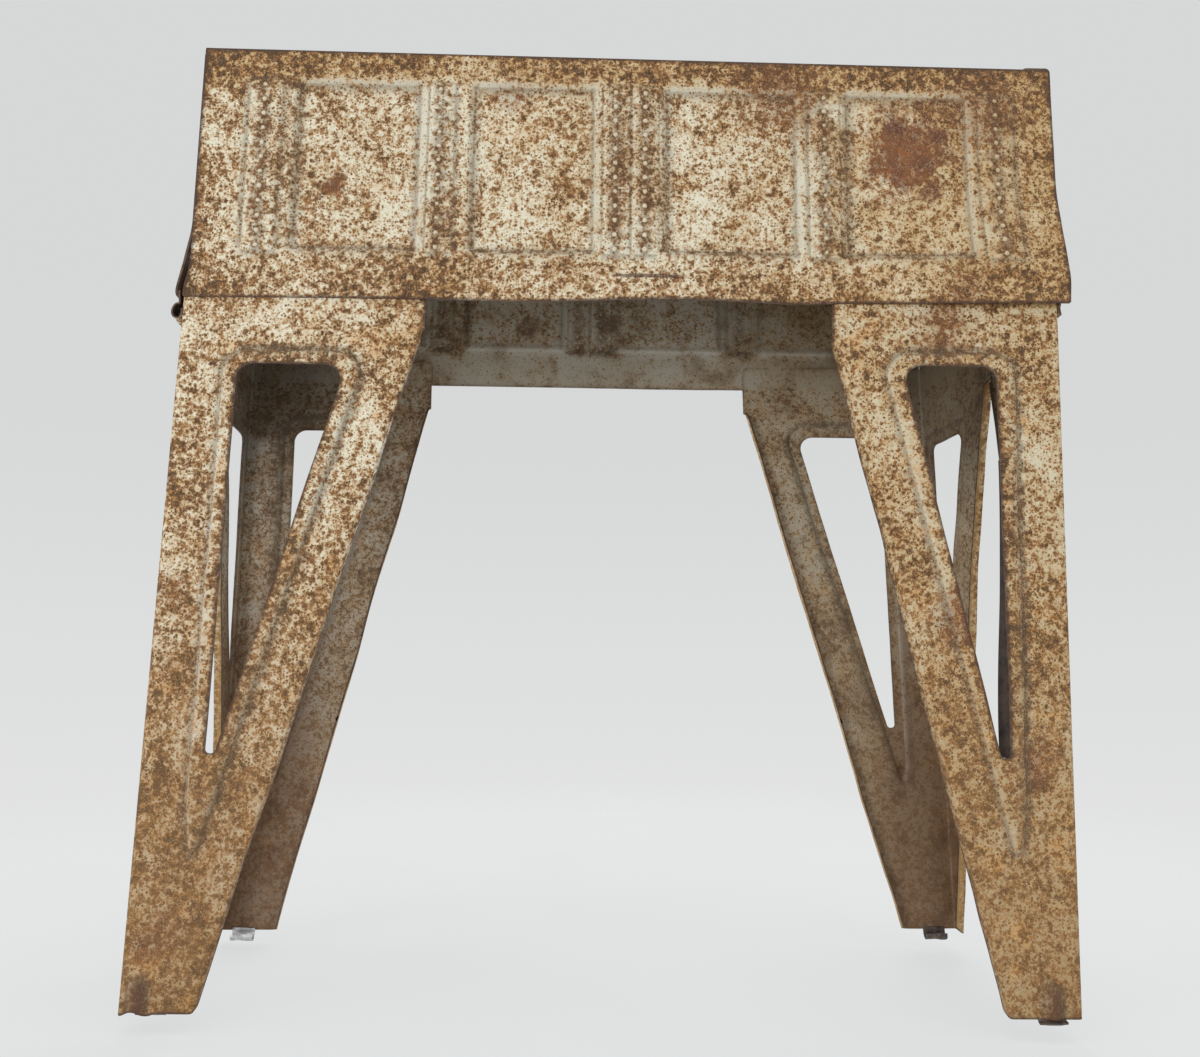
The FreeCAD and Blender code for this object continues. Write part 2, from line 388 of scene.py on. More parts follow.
def finish_sheet(name, node, flat, faces, folded, relief, outlines, seed, dent=0.3, mirrored=False,
                 folds=(), dots=(), stained=0.0, flange=0.0):
    """Tones, wear and thickness for one folded sheet, and its place in the frame."""
    step, count, cap = 0.5, len(flat), node == "cap_channel"
    ways = ((1, 0), (-1, 0), (0, 1), (0, -1))
    east, west, north, south = (relief(flat + step * np.array(way)) for way in ways)
    around = (east + west + north + south) / 4
    near = np.min([away(flat, outline) for outline in outlines], axis=0)
    gaps = [np.full(count, 99.0)] + [np.abs(flat[:, axis] - place) for axis, place in folds]
    fold_gap = np.min(gaps, axis=0)
    dot_top = dot_relief(flat, dots) / DOT_HIGH
    ring = np.clip(dot_relief(flat, dots, 1.3) / DOT_HIGH * 1.5, 0, 1)
    tone = {
        "crease": np.clip((around - relief(flat)) * 9, 0, 1),
        "border": np.exp(-near / 1.1),
        "fold": np.exp(-(fold_gap**2)),
        "dot_top": dot_top,
        "dot_ring": ring * (1 - smooth(0, 0.5, dot_top)),
        "rear": np.full(count, float("rear" in node)) + cap * (folded[:, 1] > 0),
        "stained": np.zeros(count) + stained,
        "flange": np.zeros(count) + flange,
        "toward_right": np.clip((west - east) / (2 * step) * 2.5, -1, 1) * (-1 if mirrored else 1),
        "toward_top": np.clip((south - north) / (2 * step) * 2.5, -1, 1),
    }
    if mirrored:
        faces = faces[:, ::-1]
    calm = smooth(0, 9, fold_gap) if cap else smooth(0, 12, np.abs(flat[:, 0]))
    folded = lean(dented(folded, faces, seed, dent, calm))
    piece = solid(name, folded, faces, tone, SHEET_MATERIALS)
    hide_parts(node)
    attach(piece, "root")


# Materials ------------------------------------------------------------------------------------


class Graph:
    """Short calls for the nodes of one material."""

    def __init__(self, name):
        self.material = bpy.data.materials.new(name)
        self.material.use_nodes = True
        self.nodes, self.links = self.material.node_tree.nodes, self.material.node_tree.links
        self.shader = self.nodes["Principled BSDF"]
        place = self.nodes.new("ShaderNodeTexCoord").outputs["Object"]
        scaled = self.nodes.new("ShaderNodeVectorMath")
        scaled.operation = "SCALE"
        scaled.inputs["Scale"].default_value = 1 / MM
        self.links.new(place, scaled.inputs[0])
        self.place = scaled.outputs[0]

    def put(self, socket, value):
        """Links a node's result to a socket, or sets a plain value there."""
        if isinstance(value, bpy.types.NodeSocket):
            self.links.new(value, socket)
        else:
            socket.default_value = value

    def noise(self, pitch, detail=3, rough=0.55, twist=0.0, shift=0.0):
        """Noise between 0 and 1 whose grain is about pitch millimetres."""
        node = self.nodes.new("ShaderNodeTexNoise")
        node.noise_dimensions = "4D"
        self.put(node.inputs["Vector"], self.place)
        node.inputs["W"].default_value = shift
        node.inputs["Scale"].default_value = 1 / pitch
        node.inputs["Detail"].default_value = detail
        node.inputs["Roughness"].default_value = rough
        node.inputs["Distortion"].default_value = twist
        return node.outputs["Fac"]

    def math(self, kind, one, two=0.0, three=0.0):
        """One arithmetic node, of numbers or of other nodes' results."""
        node = self.nodes.new("ShaderNodeMath")
        node.operation = kind
        for socket, value in zip(node.inputs, (one, two, three)):
            self.put(socket, value)
        return node.outputs[0]

    def step(self, value, low, high):
        """0 below low, 1 above high, smooth between."""
        node = self.nodes.new("ShaderNodeMapRange")
        node.interpolation_type = "SMOOTHSTEP"
        self.put(node.inputs["Value"], value)
        self.put(node.inputs["From Min"], low)
        self.put(node.inputs["From Max"], high)
        return node.outputs["Result"]

    def mix(self, share, one, two):
        """One colour at share 0, the other at share 1."""
        node = self.nodes.new("ShaderNodeMix")
        node.data_type = "RGBA"
        self.put(node.inputs[0], share)
        for socket, colour in zip((node.inputs[6], node.inputs[7]), (one, two)):
            self.put(socket, (*linear(colour), 1) if isinstance(colour, tuple) else colour)
        return node.outputs[2]

    def attribute(self, name):
        node = self.nodes.new("ShaderNodeAttribute")
        node.attribute_name = name
        return node.outputs["Fac"]

    def axis(self, name):
        node = self.nodes.new("ShaderNodeSeparateXYZ")
        self.links.new(self.place, node.inputs[0])
        return node.outputs[name]

    def shaken(self, pitch, amount):
        """Places moved about by a noise, so that spots get ragged edges."""
        node = self.nodes.new("ShaderNodeTexNoise")
        self.put(node.inputs["Vector"], self.place)
        node.inputs["Scale"].default_value = 1 / pitch
        node.inputs["Detail"].default_value = 3
        centred, moved = self.nodes.new("ShaderNodeVectorMath"), self.nodes.new("ShaderNodeVectorMath")
        centred.operation, moved.operation = "SUBTRACT", "MULTIPLY_ADD"
        self.put(centred.inputs[0], node.outputs["Color"])
        centred.inputs[1].default_value = (0.5, 0.5, 0.5)
        self.put(moved.inputs[0], centred.outputs[0])
        moved.inputs[1].default_value = (amount, amount, amount)
        self.put(moved.inputs[2], self.place)
        return moved.outputs[0]

    def spots(self, place, pitch, size, vary, spread):
        """Scattered spots: above 0 inside a spot, and more so towards its middle."""
        node = self.nodes.new("ShaderNodeTexVoronoi")
        self.put(node.inputs["Vector"], place)
        node.inputs["Scale"].default_value = 1 / pitch
        node.inputs["Randomness"].default_value = 1
        pick = self.nodes.new("ShaderNodeSeparateColor")
        self.put(pick.inputs[0], node.outputs["Color"])
        radius = self.math("ADD", self.math("MULTIPLY_ADD", pick.outputs[0], vary, size - vary / 2), spread)
        return self.math("SUBTRACT", radius, node.outputs["Distance"])

    def total(self, *parts):
        """Sum of (factor, value) pairs and plain numbers."""
        whole = 0.0
        for part in parts:
            if isinstance(part, tuple):
                whole = self.math("MULTIPLY_ADD", part[1], part[0], whole)
            else:
                whole = self.math("ADD", whole, part)
        return whole

    def blob(self, spot, radius, ragged, rear=False):
        """1 in a ragged round patch about a place on the front or rear face, 0 outside it."""
        gaps = [self.math("SUBTRACT", self.axis(name), place) for name, place in zip("XZ", spot)]
        squares = [(1.0, self.math("MULTIPLY", side, side)) for side in gaps]
        gap = self.math("SQRT", self.total(*squares))
        gap = self.total((1.0, gap), (radius * 2.6, ragged), -radius * 1.3)
        face = self.step(self.axis("Y"), 20, 25) if rear else self.step(self.axis("Y"), -20, -25)
        return self.math("MULTIPLY", self.step(gap, radius, radius * 0.3), face)

    def bump(self, height, distance, strength=1.0):
        node = self.nodes.new("ShaderNodeBump")
        node.inputs["Distance"].default_value = distance
        node.inputs["Strength"].default_value = strength
        self.put(node.inputs["Height"], height)
        self.put(self.shader.inputs["Normal"], node.outputs["Normal"])


def linear(colour):
    """Linear values of an ordinary 0-255 screen colour."""
    parts = [part / 255 for part in colour]
    return tuple(part / 12.92 if part <= 0.04045 else ((part + 0.055) / 1.055) ** 2.4 for part in parts)


# PAINT_COOL_LIT tints the relief sides facing down and left: washed paint and painted light together
PAINT, PAINT_WARM, PAINT_COOL_LIT, OCHRE = (217, 211, 189), (188, 164, 120), (178, 177, 166), (174, 134, 78)
KHAKI, TAN, GOLD, STRAW = (176, 156, 116), (146, 110, 68), (196, 142, 72), (196, 158, 98)
RUST, RUST_LIGHT, RUST_DARK = (112, 70, 26), (148, 98, 46), (50, 32, 10)
# GRIME_AND_SHADE darkens the relief's concave creases: dirt and painted shade together
BLOOM, PURPLE, SCRATCH, GRIME_AND_SHADE = (144, 86, 40), (88, 48, 36), (74, 44, 34), (72, 56, 40)
# DIRT_AND_SHADE darkens the relief sides facing up and right: dirt and painted shade together
DIRT_AND_SHADE, DOT_EDGE, DOT_TOP = (104, 88, 68), (84, 56, 32), (198, 182, 150)
GRIT_PALE, GRIT_DARK, BARE_RUST, SHEET_EDGE = (226, 214, 186), (56, 38, 14), (80, 50, 40), (66, 44, 34)
INNER_PAINT, INNER_WARM, INNER_DULL = (204, 200, 188), (176, 158, 130), (132, 122, 104)
# INNER_CORNER_SHADE is painted shade for the upper outer corners of the inside
INNER_BROWN, INNER_FOOT, INNER_CORNER_SHADE = (74, 48, 30), (94, 58, 34), (48, 35, 24)
# each patch is its place (x, z), radius and depth: fresher paint and larger rust stains on the front
FRESH = [((-54, 108), 21.0, 1.0), ((-84, 161), 12.0, 0.8), ((-22, 180), 16.0, 0.5), ((-20, 166), 12.0, 0.5)]
STAINS = [
    ((66, 183), 14.0, 0.72), ((38, 195), 13.0, 0.35), ((82, 192), 14.0, 0.3), ((-61, 173), 4.2, 0.6),
    ((-22, 195), 6.0, 0.3), ((74, 80), 9.0, 0.4), ((89, 50), 6.5, 0.4), ((-87, 14), 7.0, 0.3),
    ((-90, 84), 5.0, 0.25), ((78, 152), 7.0, 0.25), ((73, 143), 9.0, 0.32),
]
# stains on the inner side of the rear sheets, seen between the front legs
INSIDE_STAINS = [
    ((-21, 165), 5.0, 0.6), ((1, 166), 4.0, 0.75), ((3, 158), 3.0, 0.6), ((-30, 158), 4.0, 0.4),
    ((70, 60), 9.0, 0.3),
]


def patches(g, places, ragged, rear=False):
    """Depth of the deepest patch at each point, 0 outside them all."""
    deepest = 0.0
    for spot, radius, depth in places:
        patch = g.math("MULTIPLY", g.blob(spot, radius, ragged, rear), depth)
        deepest = g.math("MAXIMUM", deepest, patch)
    return deepest


def scratched(g, x, z, ragged):
    """1 along the short dark scratch near the front skirt's lower edge."""
    gap = g.math("ABSOLUTE", g.total((1.0, z), -(EDGE + 5.9), (0.03, x), (1.6, ragged), -0.8))
    ends = g.math("MULTIPLY", g.step(x, 0, 2.5), g.step(x, 17.5, 14))
    line = g.math("MULTIPLY", g.step(gap, 0.55, 0.3), ends)
    return g.math("MULTIPLY", line, g.step(g.axis("Y"), 0, -20))


def duller(g, colour, x, z, cloudy, ragged, inside):
    """The browner look of the inside, darkest at the feet, with painted shade in the upper corners."""
    brown = g.step(g.total((0.6, cloudy), (0.4, ragged)), 0.49, 0.66)
    colour = g.mix(g.math("MULTIPLY", brown, inside), g.mix(0.35, colour, INNER_DULL), INNER_BROWN)
    wide = g.math("ABSOLUTE", x)
    foot = g.math("MULTIPLY", g.step(wide, 68, 82), g.step(z, 110, 45))
    colour = g.mix(g.math("MULTIPLY", foot, 0.5), colour, INNER_FOOT)
    # painted shade: the upper outer corners of the inside are darkened
    corner = g.math("MULTIPLY", g.step(wide, 60, 88), g.step(z, 96, 134))
    return g.mix(g.math("MULTIPLY", corner, 0.55), colour, INNER_CORNER_SHADE)


def rusted_paint(name, paint, warm, inside=0.0):
    """Cream enamel on tin, speckled all over with rust; duller and browner on the inside of the sheets."""
    g = Graph(name)

    def tinted(share, factor, colour, tint):
        return g.mix(g.math("MULTIPLY", share, factor), colour, tint)

    place = g.shaken(0.4, 0.6)
    clump = g.noise(1.3, 4, 0.68, 0.0, 2.0)
    grain = g.noise(0.3, 2, 0.5, 0.0, 4.0)
    patchy = g.noise(30, 4, 0.6, 0.4, 7.0)
    cloudy = g.noise(8, 4, 0.62, 0.5, 11.0)
    ragged = g.noise(4.5, 6, 0.75, 0.8, 15.0)
    crease, border, fold, stained = (g.attribute(key) for key in ("crease", "border", "fold", "stained"))
    dot_ring, dot_top = g.attribute("dot_ring"), g.attribute("dot_top")

    # sides of the relief that face up and right hold dirt and get painted shade; those facing down and left
    # carry less rust and a grey tint, partly washed clean and partly painted light
    facing_up, facing_right = g.attribute("toward_top"), g.attribute("toward_right")
    clean_and_lit = g.math("MAXIMUM", g.math("MULTIPLY", facing_up, -1.0), g.math("MULTIPLY", facing_right, -0.8))
    grimy_and_shaded = g.math("MAXIMUM", g.math("MULTIPLY", facing_up, 0.8), g.math("MULTIPLY", facing_right, 0.7))
    clean_and_lit, grimy_and_shaded = g.math("MAXIMUM", clean_and_lit, 0.0), g.math("MAXIMUM", grimy_and_shaded, 0.0)

    # regions of the frame
    x, z = g.axis("X"), g.axis("Z")
    leg, low_leg = g.step(z, EDGE + 0.5, EDGE - 0.5), g.step(z, 120, 5)
    on_cap = g.math("SUBTRACT", 1.0, leg)
    foot_band = g.math("MULTIPLY", on_cap, g.step(z, EDGE + 10.5, EDGE + 7.5))
    head_band = g.step(z, TOP - 12, TOP - 5)
    right_end = g.math("MULTIPLY", g.step(x, 15, 85), on_cap)
    left_end = g.math("MULTIPLY", g.step(x, -78, -88), on_cap)
    left_leg = g.math("MULTIPLY", leg, g.step(x, 0, -10))
    right_leg = g.math("MULTIPLY", leg, g.step(x, 0, 10))

    # how far the rust has spread, and its speckles
    fresh = patches(g, FRESH, ragged)
    # less rust on relief sides facing down and left and more on those facing up and right: part of the
    # painted light and shade on the relief
    spread = g.total(
        (0.30, patchy), (0.34, cloudy), -0.32, (0.04, low_leg), (0.06, border), (0.10, fold), (0.05, crease),
        (-0.16, clean_and_lit), (0.03, grimy_and_shaded), (0.03, right_end), (0.02, left_end), (0.03, g.step(x, -30, -70)),
        (0.05 - 0.3 * inside, foot_band), (0.11, head_band), (0.05, dot_ring), (-0.25, dot_top),
        (0.2, stained), (0.02, leg), (-0.06, fresh), -0.06 * inside,
    )
    stain = patches(g, INSIDE_STAINS if inside else STAINS, ragged, rear=inside > 0)
    spread = g.total((1.0, spread), (0.16, stain))
    coarse, fine = g.spots(place, 1.2, 0.20, 0.34, spread), g.spots(place, 0.6, 0.27, 0.32, spread)
    field = g.math("MAXIMUM", g.total((2.0, clump), (1.5, spread), -1.10), g.math("MAXIMUM", coarse, fine))
    field = g.total((1.0, field), (0.16, grain), -0.08)
    halo, rust, core = g.step(field, -0.21, 0.02), g.step(field, -0.02, 0.07), g.step(field, 0.06, 0.24)

    # paint
    aged = g.total(
        (1.7, cloudy), (1.4, patchy), -1.25, (0.45, low_leg), (0.7, right_end), (0.2, border), (0.2, leg),
        (-0.15, left_leg), (-0.35, fresh), (0.1, foot_band), (0.7, head_band), (0.2, inside),
    )
    colour = g.mix(g.step(aged, 0.0, 1.2), paint, warm)
    # painted light together with washed paint on relief sides facing down and left
    colour = tinted(clean_and_lit, 0.5, colour, PAINT_COOL_LIT)
    colour = tinted(right_leg, 0.4, colour, KHAKI)
    colour = tinted(halo, 0.78, colour, OCHRE)
    colour = tinted(low_leg, g.total(0.5, (0.1, left_leg)), colour, TAN)
    golden = g.step(g.noise(6.5, 4, 0.65, 0.6, 41.0), 0.54, 0.68)
    colour = tinted(golden, g.total(0.2, (0.3, leg)), colour, GOLD)

    # rust
    rusty = g.mix(g.step(g.noise(2.6, 3, 0.6, 0.0, 21.0), 0.38, 0.62), RUST, RUST_LIGHT)
    colour = tinted(rust, g.total(0.9, (-0.25, low_leg)), colour, rusty)
    colour = tinted(core, g.total(0.8, (-0.3, low_leg)), colour, RUST_DARK)
    bloom = g.mix(g.step(g.total((0.6, ragged), (0.4, clump)), 0.42, 0.6), PURPLE, BLOOM)
    colour = g.mix(stain, colour, g.mix(0.6, bloom, RUST_DARK) if inside else bloom)
    colour = tinted(scratched(g, x, z, ragged), 0.8, colour, SCRATCH)

    # dirt and grit, painted shade on the relief's up and right sides and in its creases, bare spots and
    # edges
    # painted shade together with dirt on relief sides facing up and right
    colour = tinted(grimy_and_shaded, 0.45, colour, DIRT_AND_SHADE)
    # concave creases darkened, partly dirt and partly painted shade
    colour = tinted(g.step(crease, 0.04, 0.4), 0.42, colour, GRIME_AND_SHADE)
    colour = tinted(dot_ring, 0.6, colour, DOT_EDGE)
    colour = tinted(g.step(dot_top, 0.3, 0.9), 0.4, colour, DOT_TOP)
    gritty = g.noise(0.22, 1, 0.5, 0.0, 31.0)
    colour = tinted(g.step(gritty, 0.56, 0.74), 0.35, colour, GRIT_PALE)
    colour = tinted(g.step(gritty, 0.42, 0.26), 0.35, colour, GRIT_DARK)
    colour = tinted(stained, 0.75, colour, BARE_RUST)
    colour = tinted(g.attribute("flange"), 0.6, colour, STRAW)
    edge = g.math("MAXIMUM", g.step(border, 0.6, 0.92), g.step(fold, 0.3, 0.9))
    colour = tinted(edge, g.total(0.75, (-0.45, g.attribute("rear"))), colour, SHEET_EDGE)
    if inside:
        colour = duller(g, colour, x, z, cloudy, ragged, inside)
    g.put(g.shader.inputs["Base Color"], colour)
    g.put(g.shader.inputs["Roughness"], g.total(0.5, (0.35, rust)))
    g.bump(g.total((0.7, rust), (0.4, grain)), 0.00012, 0.6)
    return g.material


def plain_metal(name, colour, dark, metallic, rough):
    """Metal or bare edge, clouded between two colours."""
    g = Graph(name)
    cloudy, grain = g.noise(2.2, 4, 0.6, 0.3, 3.0), g.noise(0.5, 3, 0.6, 0.0, 9.0)
    mixed = g.math("ADD", g.math("MULTIPLY", cloudy, 0.7), g.math("MULTIPLY", grain, 0.3))
    g.put(g.shader.inputs["Base Color"], g.mix(g.step(mixed, 0.42, 0.62), colour, dark))
    g.shader.inputs["Metallic"].default_value = metallic
    g.put(g.shader.inputs["Roughness"], g.math("ADD", rough, g.math("MULTIPLY", cloudy, 0.3)))
    g.bump(grain, 0.00006, 0.5)
    return g.material


OUTER = rusted_paint("rusted_paint_outer", PAINT, PAINT_WARM)
INNER = rusted_paint("rusted_paint_inner", INNER_PAINT, INNER_WARM, inside=0.5)
RIM = plain_metal("sheet_edge", (96, 72, 54), (52, 38, 32), 0.0, 0.5)
# near-black sheet edge that is painted shade, for the window lip and the inside of the left curl
PAINTED_SHADE_EDGE = plain_metal("sheet_edge_painted_shade", (66, 50, 40), (36, 26, 22), 0.0, 0.6)
BRIGHT = plain_metal("bare_tin_bright", (206, 206, 208), (150, 146, 142), 0.75, 0.22)
TARNISHED = plain_metal("bare_tin_tarnished", (104, 94, 84), (58, 46, 42), 0.5, 0.4)
SHEET_MATERIALS = [OUTER, INNER, RIM]

# Pieces ---------------------------------------------------------------------------------------


def build_cap():
    """Deck and both skirts from one sheet: u along the cap, v up the front, over and down the rear."""
    rise, arc, deck = SKIRT - FOLD, FOLD * math.pi / 2, DEEP - 2 * FOLD
    rear_start = rise + arc + deck  # where the rear fold begins
    length = rear_start + arc + rise
    outline = rounded([(0, 0), (WIDE, 0), (WIDE, length), (0, length)], [0.4, 0.4, 0.4, 0.4])

    def relief(points):
        front = skirt_relief(points)
        flipped = np.column_stack([points[:, 0], length - points[:, 1]])
        rear = skirt_relief(flipped)
        return np.where(points[:, 1] < length / 2, front, rear)

    front_dots = skirt_dots()
    dots = np.concatenate([front_dots, np.column_stack([front_dots[:, 0], length - front_dots[:, 1]])])
    folds = [((WIDE, start), (0, start), arc) for start in (rise, rear_start)]
    flat, faces = flat_sheet(outline, [], relief, dots, folds)
    height = relief(flat) + dot_relief(flat, dots) - 0.35 * nicks(flat)
    points = np.column_stack([flat, height])
    points = bend(points, (1, rear_start), (0, rear_start), FOLD, math.pi / 2)
    points = bend(points, (1, rise), (0, rise), FOLD, math.pi / 2)
    folded = np.column_stack([points[:, 0] - HALF_WIDE, -HALF_DEEP - points[:, 2], EDGE + points[:, 1]])
    # the free lower corner at the right is pulled out, and the front edge sags between the legs
    x, y, z = folded.T
    front = smooth(0, -HALF_DEEP, y)
    pulled = front * smooth(HALF_WIDE - 42, HALF_WIDE, x) * smooth(EDGE + 30, EDGE, z)
    folded[:, 0] += 1.6 * pulled
    folded[:, 1] -= 1.4 * pulled
    sag = front * smooth(EDGE + 14, EDGE, z) * smooth(50, 35, np.abs(x))
    folded[:, 1] -= 0.5 * sag * np.sin(x / 9)
    folded[:, 2] += 0.35 * sag * np.sin(x / 13 + 1)
    folded[:, 2] += front * x / HALF_WIDE * (0.6 - 1.3 * (z - EDGE) / SKIRT)
    creases = [(1, rise + arc / 2), (1, rear_start + arc / 2)]
    finish_sheet("cap_shell", "cap_channel", flat, faces, folded, relief, [outline], 3,
                 folds=creases, dots=dots, stained=nicks(flat))


def build_end_plate(side):
    """End plate with its lap under the deck; u runs front to rear, v up from the lower edge."""
    deep, tall, radius, lap = DEEP - 0.86, SKIRT - 0.6, 0.8, 5.0
    length = tall - radius + radius * math.pi / 2 + lap
    outline = rounded([(0, 0), (deep, 0), (deep, length), (0, length)], [1.0, 1.0, 0.8, 0.8])

    def relief(points):
        return np.zeros(len(points))

    folds = [((deep, tall - radius), (0, tall - radius), radius * math.pi / 2)]
    flat, faces = flat_sheet(outline, [], relief, seams=folds, coarse=2.2)
    points = np.column_stack([flat, relief(flat)])
    points = bend(points, (1, tall - radius), (0, tall - radius), radius, math.pi / 2)
    across = HALF_WIDE + 0.2 + points[:, 2]
    along = points[:, 0] - deep / 2
    bulge = smooth(17, 5, points[:, 1]) * (0.35 + 0.65 * smooth(0, -HALF_DEEP, along))
    across += (1.5 if side < 0 else 0.2) * bulge
    folded = np.column_stack([side * across, along, EDGE + points[:, 1]])
    name = "left_end_plate" if side < 0 else "right_end_plate"
    finish_sheet(f"{name}_skin", name, flat, faces, folded, relief, [outline], 11 + side,
                 dent=0.15, mirrored=side < 0)


LEG_FOOT = 15.0  # width of a leg's face at its foot
LEG_HIGH, KNEE, LOW = EDGE + 6.6, EDGE - 7.0, 0.8
FLANGE, FLANGE_FOLD = 2.0, 0.6


def build_leg(end, side):
    """One L-section leg: its face (u below 0), its corner at u = 0 and its side face, from one sheet."""
    name = f"leg_{end}_{'left' if side < 0 else 'right'}"
    low, high = size_of(name)
    face_top, side_top, side_foot = high[0] - low[0], high[1] - low[1], 5.5
    if end == "front":
        face_top += 1.4 if side < 0 else -1.4  # one front leg is opened out a little, the other pressed in
        side_top += 0.4

    def face_u(distance):
        return CORNER - distance

    def side_u(distance):
        return distance - CORNER + CORNER * math.pi / 2

    toe, hip = np.array([face_u(LEG_FOOT), LOW]), np.array([face_u(face_top), KNEE])
    heel, wing = np.array([side_u(side_foot), LOW]), np.array([side_u(side_top), KNEE])
    slant = (toe - hip) / np.linalg.norm(toe - hip)
    out_face = np.array([slant[1], -slant[0]])
    rise = (wing - heel) / np.linalg.norm(wing - heel)
    out_side = np.array([rise[1], -rise[0]])
    side_flange = 0.9 if end == "front" else FLANGE
    corners = [
        toe, heel, heel + rise * 2 + out_side * side_flange, wing - rise * 2 + out_side * side_flange, wing,
        (wing[0], LEG_HIGH), (hip[0], LEG_HIGH), hip, hip + slant * 2 + out_face * FLANGE,
        toe - slant * 0.7 + out_face * FLANGE,
    ]
    outline = rounded(corners, [0.9, 0.9, 1, 1, 0.3, 1.5, 1.5, 0.3, 1, 0.8])
    sill, apex = EDGE - 13.5, EDGE - 94.5
    border, wide, narrow = 13.0, 23.2, 2.0
    pinch = 0.0
    if end == "front" and side > 0:
        border, wide, apex, pinch = 13.2, 21.6, apex - 1.8, 1.2
    elif end == "front":
        sill, apex = sill - 1.8, apex - 2.4
    window = [
        (face_u(border + wide), sill), (face_u(border + narrow), apex),
        (face_u(border), apex), (face_u(border + pinch), sill),
    ]
    window = rounded(window, [3.6, 0.9, 0.9, 3.4])
    share = side_top / 38
    near, far = 4 * share, 21 * share
    slot = [
        (side_u(near), sill - 3), (side_u(near), apex + 15),
        (side_u(near + 1.5 * share), apex + 15), (side_u(far), sill - 3),
    ]
    slot = rounded(slot, [2 * share, 0.7 * share, 0.7 * share, 2.6 * share])
    band_foot = apex - (26 if end == "front" else 20)
    band = rounded(
        [(face_u(border + wide + 5.0), sill + 3.4), (face_u(border - 1.6), band_foot),
         (face_u(border - 3.4), apex - 10), (face_u(border - 3.4), sill + 3.4)],
        [5.5, 1.5, 3, 5.5],
    )
    slot_band = rounded(
        [(side_u(near - 2.2 * share), sill + 0.2), (side_u(near - 1.6 * share), apex + 8),
         (side_u(near + 2 * share), apex + 6), (side_u(far + 4 * share), sill + 0.2)],
        [3.5 * share, 1, 1, 3.5 * share],
    )
    boss, boss_high = face_u(3.7 if side < 0 else 6.0), 0.75 if end == "front" else 0.0

    def relief(points):
        height = np.zeros(len(points))
        for ring, rise_by in ((band, 0.6), (slot_band, 0.5)):
            gap = np.where(inside(points, ring), away(points, ring), 0)
            height += rise_by * smooth(0, 1.1, gap)
        gap = np.hypot(points[:, 0] - boss, np.maximum(points[:, 1] - LOW - 4.6, 0))
        height += boss_high * smooth(2.3, 0.4, gap)
        return height

    free, corner_arc = FLANGE_FOLD * math.radians(80), CORNER * math.pi / 2
    hem, side_hem = out_face * (FLANGE_FOLD + 0.4), out_side * FLANGE_FOLD
    folds = [
        (hip - hem, toe - hem, free),
        (heel - side_hem, wing - side_hem, free),
        ((0, 0), (0, LEG_HIGH), corner_arc),
    ]
    flat, faces = flat_sheet(outline, [window, slot], relief, seams=folds, coarse=2.4)
    points = np.column_stack([flat, relief(flat)])
    if (end, side) == ("front", -1):
        torn = smooth(4, 0, flat[:, 1] - LOW) * 0.45 * np.sin((flat[:, 0] + 3.5) * 1.1)
        points[:, 1] += torn * smooth(-9, -4, flat[:, 0])
    # a fold stops short of the straight part above the taper
    hemmed = flat[:, 1] < KNEE
    points[hemmed] = bend(points[hemmed], hip - hem, toe - hem, FLANGE_FOLD, math.radians(86))
    points[hemmed] = bend(points[hemmed], heel - side_hem, wing - side_hem, FLANGE_FOLD, math.radians(80))
    points = bend(points, (0, 0), (0, 1), CORNER, math.pi / 2)
    boss_gap = np.hypot(flat[:, 0] - boss, np.maximum(flat[:, 1] - LOW - 4.6, 0))
    stained = boss_high * smooth(2.6, 0.6, boss_gap)
    flange = smooth(0.3, 0.9, (flat - heel) @ out_side)
    if end == "rear":
        flange = np.maximum(flange, smooth(-0.6, 0.3, (flat - hip) @ out_face))
    along = -1 if end == "front" else 1
    folded = np.column_stack([
        side * (HALF_WIDE - CORNER + points[:, 0]),
        along * (HALF_DEEP - 0.5 + points[:, 2]),
        points[:, 1],
    ])
    finish_sheet(f"{name}_skin", name, flat, faces, folded, relief, [outline, window, slot],
                 20 + side + 3 * along, dent=0.24, mirrored=side * along > 0, stained=stained, flange=flange)


def strip_faces(rows, columns):
    """Triangles between the points of a grid, listed row by row."""
    faces = []
    for start in (row * columns + column for row in range(rows - 1) for column in range(columns - 1)):
        beyond = start + columns
        faces += [(start, start + 1, beyond + 1), (start, beyond + 1, beyond)]
    return np.array(faces)


def ribbon(name, node, path, low, high, axis, materials, thickness=SHEET):
    """A narrow strip that follows a path in the plane across its width axis."""
    path = np.array(path, float)
    for _ in range(3):  # rounds the path's corners
        cut = np.empty((2 * len(path) - 2, 2))
        cut[0::2] = path[:-1] * 0.75 + path[1:] * 0.25
        cut[1::2] = path[:-1] * 0.25 + path[1:] * 0.75
        path = np.concatenate([path[:1], cut, path[-1:]])
    widths = np.linspace(low, high, 8)
    points = []
    for along, up in path:
        for across in widths:
            points.append((across, along, up) if axis == "X" else (along, across, up))
    points, faces = np.array(points), strip_faces(len(path), len(widths))
    points = points + 0.12 * np.column_stack([wave(points, 3, 70 + axis) for axis in range(3)])
    piece = solid(name, lean(points), faces, {}, materials, thickness)
    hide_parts(node)
    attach(piece, "root")


